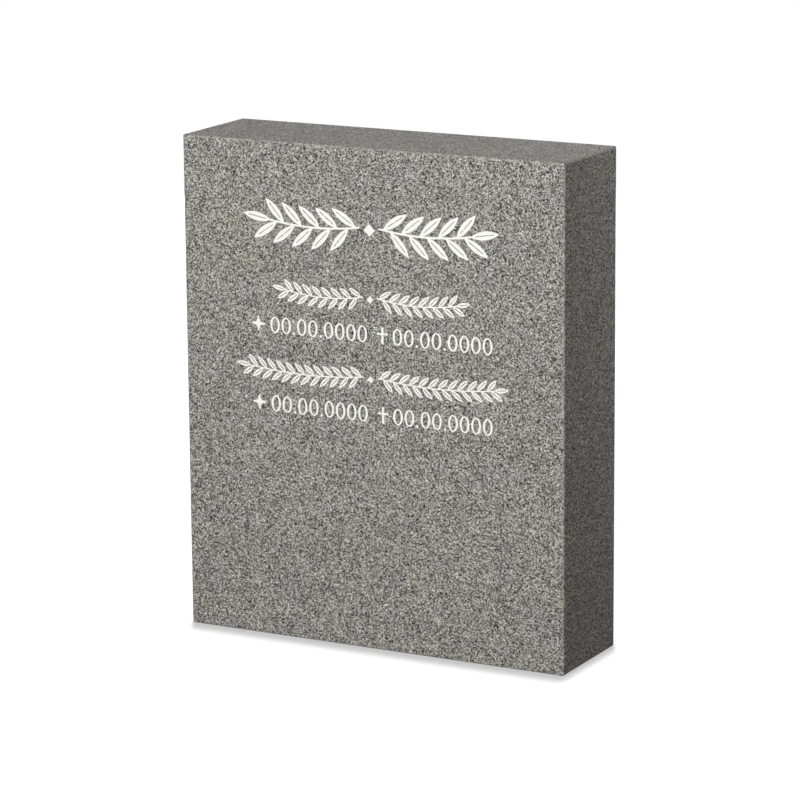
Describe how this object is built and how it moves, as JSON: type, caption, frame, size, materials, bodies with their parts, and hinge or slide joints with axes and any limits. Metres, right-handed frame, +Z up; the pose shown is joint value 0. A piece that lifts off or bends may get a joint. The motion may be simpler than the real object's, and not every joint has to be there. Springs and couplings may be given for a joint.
{
  "type": "granite memorial stone",
  "caption": "Upright rectangular granite memorial stone with eased edges and a shallow white-painted inscription field, standing on a flat sawn base with dowel holes.",
  "frame": {"origin": "centre of the base, on the ground the stone stands on", "axes": "+Z up the stone, -Y out of the inscribed face, +X to the right as one reads the face"},
  "size_m": [0.5, 0.14, 0.6],
  "materials": {
    "granite": "honed fine-grained grey granite with light, mid grey and near-black grains",
    "inscription_paint": "matte warm white stone paint in a shallow recess"
  },
  "bodies": {
    "root": {"stone": "granite", "family_sprig_left": "inscription_paint", "family_lozenge": "inscription_paint", "family_sprig_right": "inscription_paint", "first_name_sprig_left": "inscription_paint", "first_name_lozenge": "inscription_paint", "first_name_sprig_right": "inscription_paint", "first_birth_star": "inscription_paint", "first_birth_date": "inscription_paint", "first_cross": "inscription_paint", "first_death_date": "inscription_paint", "second_name_sprig_left": "inscription_paint", "second_name_lozenge": "inscription_paint", "second_name_sprig_right": "inscription_paint", "second_birth_star": "inscription_paint", "second_birth_date": "inscription_paint", "second_cross": "inscription_paint", "second_death_date": "inscription_paint"}
  },
  "joints": []
}
